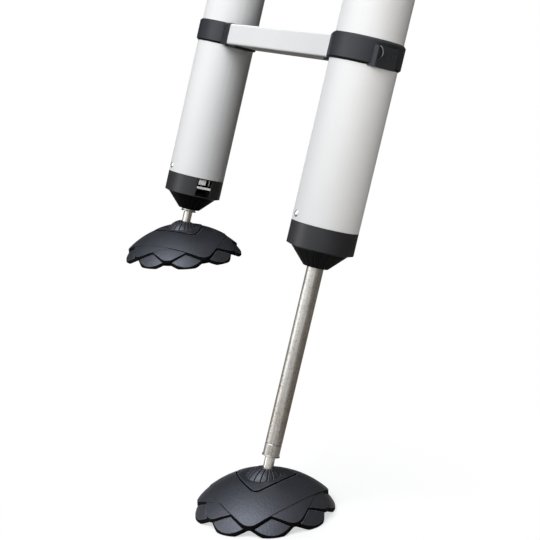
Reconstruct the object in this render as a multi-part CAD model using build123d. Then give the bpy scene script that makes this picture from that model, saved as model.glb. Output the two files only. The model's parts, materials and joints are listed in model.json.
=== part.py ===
"""Ladder foot: the foot end of a leaning ladder, with a levelling leg and a petal pad in each stile.

The frame has +Z up, +X along the rung from the left stile to the right one and +Y towards the wall that the
ladder leans on. The origin is the middle of the right pad's sole. The right leg is run out and the left one
is pushed home, as on a step. Sizes are in millimetres and angles in degrees.
"""
from build123d import *
import os
from math import asin, cos, degrees, hypot, radians, sin, sqrt, tan

# Stance of the whole foot end
LEAN = 16.8                  # stile axis away from upright, towards +Y
STILE_SPACING = 410.0        # from stile axis to stile axis
LEG_TRAVEL = 215.0           # stroke of each leg
SIDES = ("left", "right")

# Stile tube
STILE_DIA = 76.0
STILE_WALL = 2.0
STILE_LENGTH = 350.0
SOCKET_DEPTH = 60.0          # reamed mouth at the top, for the ladder's next section
SOCKET_REAM = 0.6            # radial cut of that mouth

# Rung and its collars
RUNG_RISE = 194.5            # rung axis above the stile's lower edge
RUNG_HEIGHT = 27.0
RUNG_DEPTH = 40.0
RUNG_WALL = 2.0
RUNG_CORNER = 2.5
TREAD_GROOVES = 5            # in the rung's top
TREAD_PITCH = 5.0
TREAD_WIDTH = 2.0
TREAD_DEPTH = 0.8
RUNG_PLUG_LENGTH = 40.0
RUNG_RIVET_SPREAD = 18.0     # between the two rivets of a rung end
COLLAR_WALL = 2.75
COLLAR_EDGE = 0.3            # flat left by the collar's bevels
COLLAR_HEIGHT = 29.0
COLLAR_SLEEVE_REACH = 11.0   # of the sleeve round the rung, past the collar
COLLAR_SLEEVE_WALL = 1.5
COLLAR_LEDGE_REACH = 29.0    # of the ledge under the rung, past the collar
COLLAR_LEDGE_WIDTH = 30.0
COLLAR_LEDGE_THICKNESS = 2.5
BOSS_WIDTH = 24.4            # raised block on the collar's outer face
BOSS_HEIGHT = 23.0
BOSS_RISE = 1.5              # its flat face outside the collar's radius
BOSS_FRONT = -8.8            # its edge on the climber's side, from the stile's axis
BOSS_DROP = 3.8              # its middle below the rung's axis
BOSS_RAMP = 6.0              # slope from that edge down to the collar
POCKET_DIA = 16.0            # round pocket in the block, cut off by its edge
POCKET_BACK = 2.3            # pocket's centre outside that edge
POCKET_RISE = 3.5            # pocket's centre above the block's middle
POCKET_EDGE = 1.2            # left between the edge and the pocket
POCKET_DEPTH = 0.8
POCKET_RIM = 1.0             # width of the raised rim round the pocket
POCKET_RIM_RISE = 0.8
GRIP_GROOVES = 4             # in the block's face
GRIP_PITCH = 3.4
GRIP_WIDTH = 1.0
GRIP_DEPTH = 0.5
GRIP_LENGTH = 14.0
GRIP_MIDDLE = 7.0            # of the row, from the stile's axis
SCREW_HEAD_DIA = 9.0
SCREW_HEAD_HEIGHT = 2.4
SCREW_HEAD_EDGE = 0.8        # rounding of the head
SCREW_SINK = 0.8             # of the head in the collar
SCREW_DIA = 5.0
SCREW_HEX = 3.0              # across flats

# End cap of the stile
CAP_BAND_HEIGHT = 25.4
CAP_SHOULDER = 5.8           # ledge between the band and the cone, radially
CAP_SHOULDER_DROP = 1.9
CAP_CONE_HEIGHT = 18.9
NOSE_DIA = 28.3
PLUG_HEIGHT = 30.0           # of the cap's plug inside the stile
CONE_FLUTES = 20
FLUTE_DIA = 2.0
FLUTE_MARGIN = 2.6           # at both ends of a flute
RIVET_RISE = 8.0             # cap rivets above the stile's lower edge
RIVET_DIA = 4.8
RIVET_HEAD_DIA = 8.0
RIVET_HEAD_HEIGHT = 1.8
RIVET_GRIP = 8.0             # shank below the stile's surface
BUSH_DIA = 24.8
BUSH_RECESS = 1.0            # of the bush inside the nose
BUSH_LENGTH = 18.0

# Lock plate and what holds it
WINDOW_WIDTH = 21.0
WINDOW_MARGIN = 1.0          # of the window inside the band's two edges
WINDOW_DEPTH = 20.0
CHAMBER_WIDTH = 32.0
CHAMBER_TOP = 8.0            # below the stile's lower edge
CHAMBER_HEIGHT = 14.0
PLATE_THICKNESS = 3.0
PLATE_WIDTH = 28.0
PLATE_CANT = 4.0             # tilt of the plate while it locks
PLATE_DROP = 16.6            # pivot line below the stile's lower edge
PIVOT_BACK = 20.0            # pivot line from the leg's axis
TAB_WIDTH = 19.6
TAB_SINK = 1.0               # of the tab's end inside the band's surface
FULCRUM_DIA = 4.0
EYE_WALL = 1.5               # of the plate's eye round the fulcrum pin
KEEPER_WIDTH = 10.0
KEEPER_HEIGHT = 7.0
KEEPER_DROP = 1.6            # below the stile's lower edge
KEEPER_OFFSET = -3.3         # across the window, from its middle
KEEPER_ROOT = 5.0            # of the keeper inside the cap
KEEPER_SINK = 2.0            # of the keeper's face inside the band's surface
POST_DIA = 1.6
POST_OFFSET = 7.2            # across the window, from its middle
POST_DROP = 8.5
POST_ROOT = 6.0
POST_SINK = 4.6              # of the post's axis inside the band's surface
SPRING_WIDTH = 8.0
SPRING_THICKNESS = 0.6
SPRING_START = 12.5          # from the leg's axis
SPRING_RUN = 14.0

# Leg
LEG_DIA = 19.0
LEG_WALL = 1.5
LIP_DIA = 20.6               # flare at the leg's lower end
LIP_HEIGHT = 1.5
LIP_GAP = 3.65               # from the nose to the lip's underside with the leg home
SWAGE_RISE = 14.6            # swaged ring above the lip's underside
SWAGE_WIDTH = 1.6
SWAGE_DEPTH = 0.5
GLIDE_HEIGHT = 12.0
GLIDE_BEVEL = 2.0
GLIDE_VENT_DIA = 10.0
GLIDE_VENTS = 3
GLIDE_PIN_DIA = 4.0
GLIDE_PIN_LENGTH = 36.0
STUD_BUSH_LENGTH = 30.0

# Ball joint
STUD_DIA = 11.8
STUD_REACH = 35.9            # from the ball's centre to the lip's underside
STUD_ROOT = 9.0              # of the stud below the ball's centre
STUD_TAIL = 3.0              # of the stud past its clip
CLIP_THICKNESS = 1.2
CLIP_DIA = 15.2
CLIP_GROOVE = 0.7            # radial depth of the clip's groove
BALL_DIA = 46.4
BALL_TOP = 21.2              # flat top above the ball's centre
BALL_BOTTOM = 15.0           # flat underside below the ball's centre
BALL_FLUTES = 18
BALL_FLUTE_WIDTH = 1.5
BALL_FLUTE_DEPTH = 1.5
LINER_THICKNESS = 1.7
LINER_BOTTOM = 14.0          # below the ball's centre
LINER_SPLIT = 1.5

# Petal pad
BALL_HEIGHT = 28.0           # ball's centre above the ground
DOME_RADIUS = 108.4
DOME_RISE = 16.0             # top of the dome above the ball's centre
TIER_STEP = 0.7              # between the three interleaved tiers of the cover
TIER_TURN = 40.0             # from one tier to the next
COVER_DEPTH = 4.5            # of the cover's underside below its top at the middle
COVER_MID = 58.6             # middle of a tier's side from the pad's axis
COVER_SIDE = 130.0           # radius of that side
COVER_CORNER = 17.0
SEAT_TIGHTER = 3.4           # radius of the base's dome under the cover, against the cover's
PETAL_TIGHTER = 8.4          # radius of the base's dome around the cover, against the cover's
PETAL_DROP = 1.5             # top of that dome below the cover's
PETAL_WALL = 3.0
PETAL_MID = 63.2
PETAL_SIDE = 143.0
PETAL_CORNER = 29.0
PETAL_TURN = 20.0            # base petals against the cover's
RETAINER_MID = 26.6
RETAINER_SIDE = 95.6
RETAINER_CORNER = 7.6
RETAINER_RISE = 1.0          # above the cover
RETAINER_THICKNESS = 3.5
RETAINER_GAP = 1.5           # shadow line round the retainer
MOUTH_RISE = 13.0            # rim of the retainer's mouth above the ball's centre
MOUTH_WALL = 3.0
DISH_DIA = 51.0              # dish round the mouth
NECK_DIA = 49.0              # of the retainer's neck in the base
HUB_DIA = 68.0
SKIRT_DIA = 116.0
SKIRT_WALL = 3.0
SOLE_THICKNESS = 5.0
SOLE_GROOVE_WIDTH = 3.0
SOLE_GROOVE_DEPTH = 2.0
SOLE_RINGS = 3
SOLE_RING_START = 40.0       # diameter of the inner groove's middle
SOLE_RING_PITCH = 12.0       # radially
PAD_SCREW_CIRCLE = 58.0
PAD_SCREW_DIA = 4.0
PAD_SCREW_HEAD_DIA = 8.0
PAD_SCREW_HEAD_HEIGHT = 2.6
PAD_SCREW_HEX = 2.5          # across flats
PAD_SCREW_SINK = 1.2         # of its head inside the sole
PAD_SCREW_GRIP = 2.0         # of its tip inside the retainer
PAD_TURN = {"left": 3.4, "right": -35.9}

# Clearances
FIT = 0.05                   # round fits, radially
SEAT = 0.1                   # parts that are pushed together
RUN = 0.3                    # parts that pass each other freely
LOOSE = 0.5

# Sizes that follow from those above
STILE_R = STILE_DIA / 2
COLLAR_R = STILE_R + COLLAR_WALL
COLLAR_BEVEL = COLLAR_WALL - FIT - COLLAR_EDGE
BORE_R = STILE_R - STILE_WALL
SOCKET_R = BORE_R + SOCKET_REAM
LEG_R = LEG_DIA / 2
LEG_BORE_R = LEG_R - LEG_WALL
STUD_R = STUD_DIA / 2
BALL_R = BALL_DIA / 2
LINER_IN = BALL_R + FIT
LINER_OUT = LINER_IN + LINER_THICKNESS
CUP_R = LINER_OUT + FIT
EYE_R = FULCRUM_DIA / 2 + EYE_WALL
CHAMBER_BACK = PIVOT_BACK + EYE_R + LOOSE
CAP_LENGTH = CAP_BAND_HEIGHT + CAP_SHOULDER_DROP + CAP_CONE_HEIGHT
HOME_REACH = CAP_LENGTH + LIP_GAP + STUD_REACH
OUT_REACH = HOME_REACH + LEG_TRAVEL
LEG_TOP = OUT_REACH + PLUG_HEIGHT + RUN + GLIDE_HEIGHT
COVER_TOP = BALL_HEIGHT + DOME_RISE
SEAT_TOP = COVER_TOP - COVER_DEPTH
SEAT_RADIUS = DOME_RADIUS - SEAT_TIGHTER
PETAL_RADIUS = DOME_RADIUS - PETAL_TIGHTER
RETAINER_TOP = COVER_TOP + RETAINER_RISE
RETAINER_FOOT = RETAINER_TOP - RETAINER_THICKNESS
MOUTH_TOP = BALL_HEIGHT + MOUTH_RISE
NECK_FOOT = MOUTH_TOP - MOUTH_WALL
LINER_TOP = NECK_FOOT - RUN
PETAL_TOP = COVER_TOP - PETAL_DROP
UP = Vector(0, sin(radians(LEAN)), cos(radians(LEAN)))
RIGHT_BALL = Vector(0, 0, BALL_HEIGHT)
STILE_FOOT = {
    "left": RIGHT_BALL + UP * OUT_REACH - Vector(STILE_SPACING, 0, 0),
    "right": RIGHT_BALL + UP * OUT_REACH,
}
BALL_AT = {
    "left": STILE_FOOT["left"] - UP * HOME_REACH,
    "right": RIGHT_BALL,
}
TILT = Rot(-LEAN, 0, 0)


# Small helpers
def rod(radius, low, high, x=0.0, y=0.0):
    """Upright cylinder between two heights."""
    return Pos(x, y, (low + high) / 2) * Cylinder(radius, high - low)


def rod_x(radius, low, high, y=0.0, z=0.0):
    """Cylinder along X between two values of x."""
    return Pos((low + high) / 2, y, z) * Rot(0, 90, 0) * Cylinder(radius, high - low)


def rod_y(radius, low, high, x=0.0, z=0.0):
    """Cylinder along Y between two values of y."""
    return Pos(x, (low + high) / 2, z) * Rot(90, 0, 0) * Cylinder(radius, high - low)


def block(x, y, z):
    """Box between the two values given for each axis."""
    middle = [(low + high) / 2 for low, high in (x, y, z)]
    return Pos(*middle) * Box(x[1] - x[0], y[1] - y[0], z[1] - z[0])


def turned(*points):
    """Solid turned about Z from (radius, height) corners."""
    return revolve(Plane.XZ * make_face(Polyline(*points, close=True)), Axis.Z)


def ball(radius, height=0.0):
    return Pos(0, 0, height) * Sphere(radius)


def around(count, piece, first=0.0):
    """Copies of a piece evenly spaced about Z."""
    return [Rot(0, 0, first + 360.0 * i / count) * piece for i in range(count)]


def in_stile(side, piece):
    """Places a piece drawn about a stile's axis, +X facing the other stile, zero at its lower edge."""
    if side == "right":
        piece = mirror(piece, about=Plane.YZ)
    return Pos(STILE_FOOT[side]) * TILT * piece


def on_leg(side, piece):
    """Places a piece drawn about a leg's axis with zero at the ball's centre."""
    return Pos(BALL_AT[side]) * TILT * piece


def in_pad(side, piece):
    """Places a piece drawn about a pad's axis with zero on the ground."""
    return Pos(BALL_AT[side] - Vector(0, 0, BALL_HEIGHT)) * Rot(0, 0, PAD_TURN[side]) * piece


# Stile, rung and collars
def rung_section(grow=0.0):
    return RectangleRounded(RUNG_HEIGHT + 2 * grow, RUNG_DEPTH + 2 * grow, RUNG_CORNER + grow)


def rung_bar(start, length, grow=0.0):
    """Solid bar with the rung's outline, about the left stile's axis, from start towards +X."""
    return Pos(start, 0, RUNG_RISE) * Rot(0, 90, 0) * extrude(rung_section(grow), length)


def rung_rivet_rows():
    return (-RUNG_RIVET_SPREAD / 2, RUNG_RIVET_SPREAD / 2)


def wall_side(piece):
    """Lays a piece drawn along Z on the line of the collar's screw, towards +Y from the stile's axis."""
    return Pos(0, 0, RUNG_RISE) * Rot(-90, 0, 0) * piece


def stile_tube():
    tube = turned((BORE_R, 0), (STILE_R, 0), (STILE_R, STILE_LENGTH), (SOCKET_R, STILE_LENGTH),
                  (SOCKET_R, STILE_LENGTH - SOCKET_DEPTH), (BORE_R, STILE_LENGTH - SOCKET_DEPTH))
    tube -= rod_y(RIVET_DIA / 2 + FIT, -STILE_DIA, STILE_DIA, z=RIVET_RISE)
    tube -= wall_side(rod(SCREW_DIA / 2 + FIT, 0, STILE_DIA))
    for y in rung_rivet_rows():
        tube -= rod_x(RIVET_DIA / 2 + FIT, 0, STILE_DIA, y=y, z=RUNG_RISE)
    return tube


def rung():
    length = STILE_SPACING
    bar = rung_bar(0, length)
    bar -= rung_bar(0, length, -RUNG_WALL)
    for i in range(TREAD_GROOVES):
        y = (i - (TREAD_GROOVES - 1) / 2) * TREAD_PITCH
        top = RUNG_RISE + RUNG_HEIGHT / 2
        bar -= block((0, length), (y - TREAD_WIDTH / 2, y + TREAD_WIDTH / 2), (top - TREAD_DEPTH, top + RUN))
    for x in (0, length):
        bar -= rod(STILE_R + SEAT, 0, STILE_LENGTH, x=x)
    return bar


def rung_plug():
    plug = rung_bar(0, STILE_R + RUNG_PLUG_LENGTH, -RUNG_WALL - SEAT)
    plug -= rod(STILE_R + SEAT, 0, STILE_LENGTH)
    for y in rung_rivet_rows():
        plug -= rod_x(RIVET_DIA / 2 + FIT, 0, STILE_R + RUNG_PLUG_LENGTH / 2, y=y, z=RUNG_RISE)
    return plug


def rung_rivet(y):
    """Flush rivet from the stile's bore into the rung plug."""
    near = sqrt(BORE_R ** 2 - (abs(y) - RIVET_DIA / 2) ** 2)
    return rod_x(RIVET_DIA / 2, near, STILE_R + RUNG_PLUG_LENGTH / 2 - RUN, y=y, z=RUNG_RISE)


def collar_boss():
    """Block on the collar's outer face with a sloped front, a rimmed half-round pocket and grip grooves."""
    face = -COLLAR_R - BOSS_RISE
    back = BOSS_FRONT + BOSS_WIDTH
    plan = Polyline((face, BOSS_FRONT), (face, back), (0, back), (0, BOSS_FRONT - BOSS_RAMP),
                    (face + BOSS_RAMP, BOSS_FRONT - BOSS_RAMP), close=True)
    middle = RUNG_RISE - BOSS_DROP
    boss = Pos(0, 0, middle - BOSS_HEIGHT / 2) * extrude(make_face(plan), BOSS_HEIGHT)
    inside = block((face - BOSS_WIDTH, 0), (BOSS_FRONT + POCKET_EDGE, back),
                   (middle - BOSS_HEIGHT / 2, middle + BOSS_HEIGHT / 2))
    centre = {"y": BOSS_FRONT - POCKET_BACK, "z": middle + POCKET_RISE}
    boss += inside & rod_x(POCKET_DIA / 2 + POCKET_RIM, face - POCKET_RIM_RISE, face + POCKET_DEPTH, **centre)
    boss -= inside & rod_x(POCKET_DIA / 2, face - POCKET_RIM_RISE, face + POCKET_DEPTH, **centre)
    for i in range(GRIP_GROOVES):
        y = GRIP_MIDDLE + (i - (GRIP_GROOVES - 1) / 2) * GRIP_PITCH
        boss -= block((face - RUN, face + GRIP_DEPTH), (y - GRIP_WIDTH / 2, y + GRIP_WIDTH / 2),
                      (middle - GRIP_LENGTH / 2, middle + GRIP_LENGTH / 2))
    return boss


def collar():
    low = RUNG_RISE - COLLAR_HEIGHT / 2
    high = RUNG_RISE + COLLAR_HEIGHT / 2
    bore = STILE_R + FIT
    ring = turned((bore, low), (COLLAR_R - COLLAR_BEVEL, low), (COLLAR_R, low + COLLAR_BEVEL),
                  (COLLAR_R, high - COLLAR_BEVEL), (COLLAR_R - COLLAR_BEVEL, high), (bore, high))
    sleeve = RectangleRounded(COLLAR_HEIGHT, RUNG_DEPTH + 2 * COLLAR_SLEEVE_WALL, RUNG_CORNER + SEAT)
    sleeve = extrude(sleeve, COLLAR_R + COLLAR_SLEEVE_REACH)
    rung_foot = RUNG_RISE - RUNG_HEIGHT / 2 - SEAT
    ledge = block((0, COLLAR_R + COLLAR_LEDGE_REACH), (-COLLAR_LEDGE_WIDTH / 2, COLLAR_LEDGE_WIDTH / 2),
                  (rung_foot - COLLAR_LEDGE_THICKNESS, rung_foot))
    outside = collar_boss() + Pos(0, 0, RUNG_RISE) * Rot(0, 90, 0) * sleeve + ledge
    ring += outside - rod(COLLAR_R - COLLAR_BEVEL, 0, STILE_LENGTH)
    ring -= rung_bar(0, COLLAR_R + COLLAR_LEDGE_REACH, SEAT)
    ring -= wall_side(rod(SCREW_HEAD_DIA / 2 + SEAT, screw_seat(), COLLAR_R + BOSS_RISE))
    ring -= wall_side(rod(SCREW_DIA / 2 + FIT, 0, COLLAR_R))
    return ring


def screw_seat():
    """Distance of the collar screw's seat from the stile's axis."""
    return COLLAR_R - SCREW_SINK


def collar_screw():
    seat = screw_seat()
    head = rod(SCREW_HEAD_DIA / 2, seat, seat + SCREW_HEAD_HEIGHT)
    head = fillet(head.edges().sort_by(Axis.Z)[-1], SCREW_HEAD_EDGE)
    screw = head + rod(SCREW_DIA / 2, BORE_R + RUN, seat)
    socket = extrude(RegularPolygon(SCREW_HEX / 2, 6, major_radius=False), SCREW_HEAD_HEIGHT)
    return wall_side(screw - Pos(0, 0, seat + SCREW_HEAD_HEIGHT / 2) * socket)


# End cap with its bush, rivets and lock
def cone_flute():
    """Round groove along the cone, at +X."""
    top_r = STILE_R - CAP_SHOULDER
    top_z = -CAP_BAND_HEIGHT - CAP_SHOULDER_DROP
    slope = degrees(asin((top_r - NOSE_DIA / 2) / hypot(top_r - NOSE_DIA / 2, CAP_CONE_HEIGHT)))
    length = hypot(top_r - NOSE_DIA / 2, CAP_CONE_HEIGHT)
    middle = Pos((top_r + NOSE_DIA / 2) / 2, 0, top_z - CAP_CONE_HEIGHT / 2) * Rot(0, slope, 0)
    return middle * Pos(FLUTE_DIA / 4, 0, 0) * Cylinder(FLUTE_DIA / 2, length - 2 * FLUTE_MARGIN)


def window_z():
    return (-CAP_BAND_HEIGHT + WINDOW_MARGIN, -WINDOW_MARGIN)


def chamber_z():
    return (-CHAMBER_TOP - CHAMBER_HEIGHT, -CHAMBER_TOP)


def keeper(grow=0.0):
    """Square steel block that stands in the window, above the tab."""
    half = KEEPER_WIDTH / 2 + grow
    x = (STILE_R - WINDOW_DEPTH - KEEPER_ROOT - grow, STILE_R - KEEPER_SINK)
    z = (-KEEPER_DROP - KEEPER_HEIGHT - grow, -KEEPER_DROP + grow)
    return block(x, (KEEPER_OFFSET - half, KEEPER_OFFSET + half), z)


def post(radius, top):
    return rod(radius, -POST_DROP, top, x=STILE_R - POST_SINK, y=POST_OFFSET)


def end_cap():
    cone_r = STILE_R - CAP_SHOULDER
    band = -CAP_BAND_HEIGHT
    cone = band - CAP_SHOULDER_DROP
    cap = turned((0, PLUG_HEIGHT), (BORE_R - SEAT, PLUG_HEIGHT), (BORE_R - SEAT, 0), (STILE_R, -SEAT),
                 (STILE_R, band), (cone_r, cone), (NOSE_DIA / 2, -CAP_LENGTH), (0, -CAP_LENGTH))
    cap -= around(CONE_FLUTES, cone_flute())
    cap -= rod(LEG_R + LOOSE, -CAP_LENGTH, PLUG_HEIGHT)
    cap -= rod(BUSH_DIA / 2 + FIT, -CAP_LENGTH, -CAP_LENGTH + BUSH_RECESS + BUSH_LENGTH)
    inside = STILE_R - WINDOW_DEPTH
    cap -= block((-CHAMBER_BACK, inside), (-CHAMBER_WIDTH / 2, CHAMBER_WIDTH / 2), chamber_z())
    cap -= block((inside, STILE_DIA), (-WINDOW_WIDTH / 2, WINDOW_WIDTH / 2), window_z())
    cap -= keeper(FIT)
    cap -= post(POST_DIA / 2 + FIT, POST_ROOT + FIT)
    cap -= rod_y(FULCRUM_DIA / 2 + FIT, -PLATE_WIDTH / 2 - FULCRUM_DIA, PLATE_WIDTH / 2 + FULCRUM_DIA,
                 x=-PIVOT_BACK, z=-PLATE_DROP)
    cap -= rod_y(RIVET_DIA / 2 + FIT, -STILE_DIA, -STILE_R + RIVET_GRIP + LOOSE, z=RIVET_RISE)
    cap -= rod_y(RIVET_DIA / 2 + FIT, STILE_R - RIVET_GRIP - LOOSE, STILE_DIA, z=RIVET_RISE)
    return cap


def cap_rivet(face):
    """Dome-headed rivet through the stile into the cap's plug, on the -Y or the +Y face."""
    crown = (RIVET_HEAD_DIA ** 2 / 4 + RIVET_HEAD_HEIGHT ** 2) / (2 * RIVET_HEAD_HEIGHT)
    head = ball(crown, RIVET_HEAD_HEIGHT - crown) & rod(RIVET_HEAD_DIA, 0, RIVET_HEAD_DIA)
    rivet = head + rod(RIVET_DIA / 2, -RIVET_GRIP, 0)
    return Pos(0, face * STILE_R, RIVET_RISE) * Rot(-90 * face, 0, 0) * rivet


def nose_bush():
    low = -CAP_LENGTH + BUSH_RECESS
    return rod(BUSH_DIA / 2, low, low + BUSH_LENGTH) - rod(LEG_R + FIT, low, low + BUSH_LENGTH)


def fulcrum_pin():
    half = PLATE_WIDTH / 2 + FULCRUM_DIA - FIT
    return rod_y(FULCRUM_DIA / 2, -half, half, x=-PIVOT_BACK, z=-PLATE_DROP)


def lock_plate():
    """Plate with a hole for the leg and an eye for its pin, canted so that the tab stands high."""
    half = PLATE_THICKNESS / 2
    hole = LEG_R + RUN + half * sin(radians(PLATE_CANT))
    end = PIVOT_BACK + STILE_R - TAB_SINK
    broad = PIVOT_BACK + STILE_R - WINDOW_DEPTH - LOOSE
    plate = block((0, broad), (-PLATE_WIDTH / 2, PLATE_WIDTH / 2), (-half, half))
    plate += block((broad, end), (-TAB_WIDTH / 2, TAB_WIDTH / 2), (-half, half))
    plate += rod_y(EYE_R, -PLATE_WIDTH / 2, PLATE_WIDTH / 2)
    plate -= rod_y(FULCRUM_DIA / 2 + FIT, -PLATE_WIDTH, PLATE_WIDTH)
    plate -= rod(hole, -PLATE_THICKNESS, PLATE_THICKNESS, x=PIVOT_BACK)
    return Pos(-PIVOT_BACK, 0, -PLATE_DROP) * Rot(0, -PLATE_CANT, 0) * plate


def lock_spring():
    """Bowed leaf from the chamber's floor up to the plate's underside, on the tab's side."""
    low = chamber_z()[0] + RUN
    far = SPRING_START + SPRING_RUN
    plate_foot = -PLATE_DROP + (PIVOT_BACK + far) * tan(radians(PLATE_CANT)) - PLATE_THICKNESS / 2
    rise = plate_foot - RUN - low - SPRING_THICKNESS
    bow = (SPRING_RUN ** 2 + rise ** 2) / (2 * rise)
    middle = low + SPRING_THICKNESS + bow
    half = SPRING_WIDTH / 2
    leaf = rod_y(bow + SPRING_THICKNESS, -half, half, x=SPRING_START, z=middle)
    leaf -= rod_y(bow, -half, half, x=SPRING_START, z=middle)
    return leaf & block((SPRING_START, far), (-half, half), (low, middle))


# Leg with its glide
def leg_tube():
    tube = rod(LEG_R, STUD_REACH, LEG_TOP)
    tube += turned((0, STUD_REACH), (LIP_DIA / 2, STUD_REACH), (LIP_DIA / 2, STUD_REACH + LIP_HEIGHT / 2),
                   (LEG_R, STUD_REACH + LIP_HEIGHT), (0, STUD_REACH + LIP_HEIGHT))
    ring = STUD_REACH + SWAGE_RISE
    tube -= turned((LEG_R + SWAGE_DEPTH, ring - SWAGE_WIDTH), (LEG_R + SWAGE_DEPTH, ring + SWAGE_WIDTH),
                   (LEG_R - SWAGE_DEPTH, ring))
    tube -= rod(LEG_BORE_R, STUD_REACH, LEG_TOP)
    tube -= glide_pin_hole()
    return tube


def glide_pin_hole(radius=GLIDE_PIN_DIA / 2 + FIT):
    return rod_y(radius, -STILE_R, STILE_R, z=LEG_TOP - GLIDE_HEIGHT / 2)


def glide():
    """Nylon disc on the leg's top end, which runs in the stile and stops on the cap's plug."""
    low = LEG_TOP - GLIDE_HEIGHT
    radius = BORE_R - RUN - SEAT
    disc = turned((LEG_R + FIT, low), (radius - GLIDE_BEVEL, low), (radius, low + GLIDE_BEVEL),
                  (radius, LEG_TOP - GLIDE_BEVEL), (radius - GLIDE_BEVEL, LEG_TOP), (LEG_R + FIT, LEG_TOP))
    vent = rod(GLIDE_VENT_DIA / 2, low, LEG_TOP, x=(LEG_R + radius) / 2)
    disc -= around(GLIDE_VENTS, vent)
    disc -= rod_y(GLIDE_PIN_DIA / 2 + FIT, -GLIDE_PIN_LENGTH / 2 - SEAT, GLIDE_PIN_LENGTH / 2 + SEAT,
                  z=LEG_TOP - GLIDE_HEIGHT / 2)
    return disc


def glide_pin():
    half = GLIDE_PIN_LENGTH / 2
    return rod_y(GLIDE_PIN_DIA / 2, -half, half, z=LEG_TOP - GLIDE_HEIGHT / 2)


def stud_bush():
    top = STUD_REACH + STUD_BUSH_LENGTH
    return rod(LEG_BORE_R - FIT, STUD_REACH, top) - rod(STUD_R + FIT, STUD_REACH, top)


# Ball joint
def clip_height():
    return STUD_REACH + STUD_BUSH_LENGTH + RUN


def ball_stud():
    clip = clip_height()
    stud = rod(STUD_R, -STUD_ROOT, clip + CLIP_THICKNESS + STUD_TAIL)
    groove = rod(STUD_DIA, clip, clip + CLIP_THICKNESS)
    return stud - (groove - rod(STUD_R - CLIP_GROOVE, clip, clip + CLIP_THICKNESS))


def stud_clip():
    low = clip_height() + FIT
    high = clip_height() + CLIP_THICKNESS - FIT
    return rod(CLIP_DIA / 2, low, high) - rod(STUD_R - CLIP_GROOVE + FIT, low, high)


def ball_flute():
    """Slit down the ball from its flat top, at +X."""
    ring = ball(BALL_R + BALL_FLUTE_DEPTH) - ball(BALL_R - BALL_FLUTE_DEPTH)
    half = BALL_FLUTE_WIDTH / 2
    return ring & block((STUD_R + BALL_FLUTE_DEPTH, BALL_DIA), (-half, half), (0, BALL_DIA))


def ribbed_ball():
    body = ball(BALL_R) & rod(BALL_R, -BALL_BOTTOM, BALL_TOP)
    body -= around(BALL_FLUTES, ball_flute())
    body -= rod(STUD_R + FIT, -STUD_ROOT - FIT, BALL_TOP)
    return body


def socket_liner():
    """Split bearing shell between the ball and the pad, drawn about the pad's axis."""
    shell = ball(LINER_OUT, BALL_HEIGHT) - ball(LINER_IN, BALL_HEIGHT)
    shell &= rod(LINER_OUT, BALL_HEIGHT - LINER_BOTTOM, LINER_TOP)
    return shell - block((0, BALL_DIA), (-LINER_SPLIT / 2, LINER_SPLIT / 2), (0, BALL_DIA * 2))


# Petal pad
def petal_plate(mid, side, corner, turn, grow=0.0):
    """Triangle with bowed sides and rounded corners, the first corner at the given turn."""
    plate = None
    for i in range(3):
        way = radians(turn + 60 + 120 * i)
        disc = Pos((mid - side) * cos(way), (mid - side) * sin(way)) * Circle(side + grow)
        plate = disc if plate is None else plate & disc
    return fillet(plate.vertices(), corner + grow)


def under_dome(outline, radius, top):
    """Upright prism of an outline, cut off by a dome whose top is at the given height."""
    return extrude(outline, top) & ball(radius, top - radius)


def tier_outline(i, grow=0.0):
    return petal_plate(COVER_MID, COVER_SIDE, COVER_CORNER, TIER_TURN * i, grow)


def cover_tier(i):
    return under_dome(tier_outline(i), DOME_RADIUS, COVER_TOP - TIER_STEP * i)


def retainer_prism(grow=0.0):
    outline = petal_plate(RETAINER_MID, RETAINER_SIDE, RETAINER_CORNER, 0.0, grow)
    return under_dome(outline, DOME_RADIUS, RETAINER_TOP)


def retainer_floor(drop=0.0):
    """Everything below the retainer's underside."""
    return ball(DOME_RADIUS, RETAINER_FOOT - drop - DOME_RADIUS)


def pad_screw_hole(low, high):
    hole = rod(PAD_SCREW_DIA / 2 + FIT, low, high, x=PAD_SCREW_CIRCLE / 2)
    return around(3, hole)


def seat_dome(gap=0.0):
    """Everything below the face that the cover lies on."""
    return ball(SEAT_RADIUS + gap, SEAT_TOP - SEAT_RADIUS)


def cover_recess():
    """Space for the cover in the base."""
    prisms = [extrude(tier_outline(i, SEAT), COVER_TOP) for i in range(3)]
    return prisms[0] + prisms[1] + prisms[2] - seat_dome()


def pad_base():
    """Nine petals in one moulded shell, with a hub that holds the ball and a skirt that holds the sole."""
    turns = [PETAL_TURN + TIER_TURN * i for i in range(3)]
    leaves = [petal_plate(PETAL_MID, PETAL_SIDE, PETAL_CORNER, turn) for turn in turns]
    outline = leaves[0] + leaves[1] + leaves[2]
    inside = seat_dome(-PETAL_WALL)
    shell = under_dome(outline, PETAL_RADIUS, PETAL_TOP) - inside
    hub = rod(HUB_DIA / 2, SOLE_THICKNESS, SEAT_TOP)
    skirt = rod(SKIRT_DIA / 2, SOLE_THICKNESS, SEAT_TOP) - rod(SKIRT_DIA / 2 - SKIRT_WALL, 0, SEAT_TOP)
    base = shell + ((hub + skirt) & seat_dome(-PETAL_WALL / 2))
    base -= cover_recess()
    base -= ball(CUP_R, BALL_HEIGHT)
    base -= rod(NECK_DIA / 2 + SEAT, NECK_FOOT - SEAT, COVER_TOP)
    base -= pad_screw_hole(0, COVER_TOP)
    return base


def pad_cover():
    """Three interleaved three-cornered tiers in one moulding over the base."""
    cover = cover_tier(0) + cover_tier(1) + cover_tier(2)
    cover -= seat_dome(SEAT)
    cover -= retainer_prism(RETAINER_GAP) - retainer_floor(SEAT)
    cover -= rod(NECK_DIA / 2 + SEAT, 0, COVER_TOP)
    cover -= pad_screw_hole(0, COVER_TOP)
    return cover


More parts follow.
